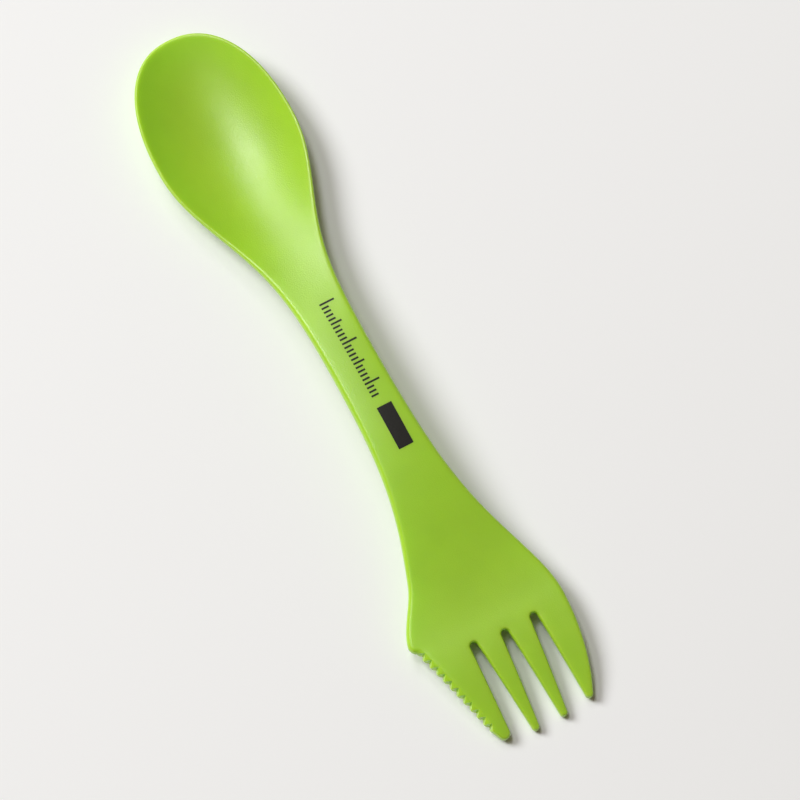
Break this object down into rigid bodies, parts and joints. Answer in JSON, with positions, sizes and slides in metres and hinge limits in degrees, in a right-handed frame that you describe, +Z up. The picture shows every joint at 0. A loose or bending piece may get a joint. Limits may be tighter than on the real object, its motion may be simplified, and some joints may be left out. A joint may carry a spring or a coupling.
{
  "type": "camping spork",
  "caption": "One-piece plastic camping spork: a spoon bowl at one end, a slim arched handle, and a tined fork with a small saw edge at the other.",
  "frame": {"origin": "centre of the bounding box in plan, on the surface that the spork lies on", "axes": "+Y points from the fork to the spoon, +Z up out of the spoon's bowl, and the saw edge is on the -X side"},
  "size_m": [0.035, 0.17, 0.0112],
  "materials": {
    "lime_plastic": "satin lime green plastic with a fine moulded grain",
    "black_ink": "matt near-black pad-printed ink, for the scale on the handle"
  },
  "bodies": {
    "root": {"spork": "lime_plastic"}
  },
  "joints": []
}
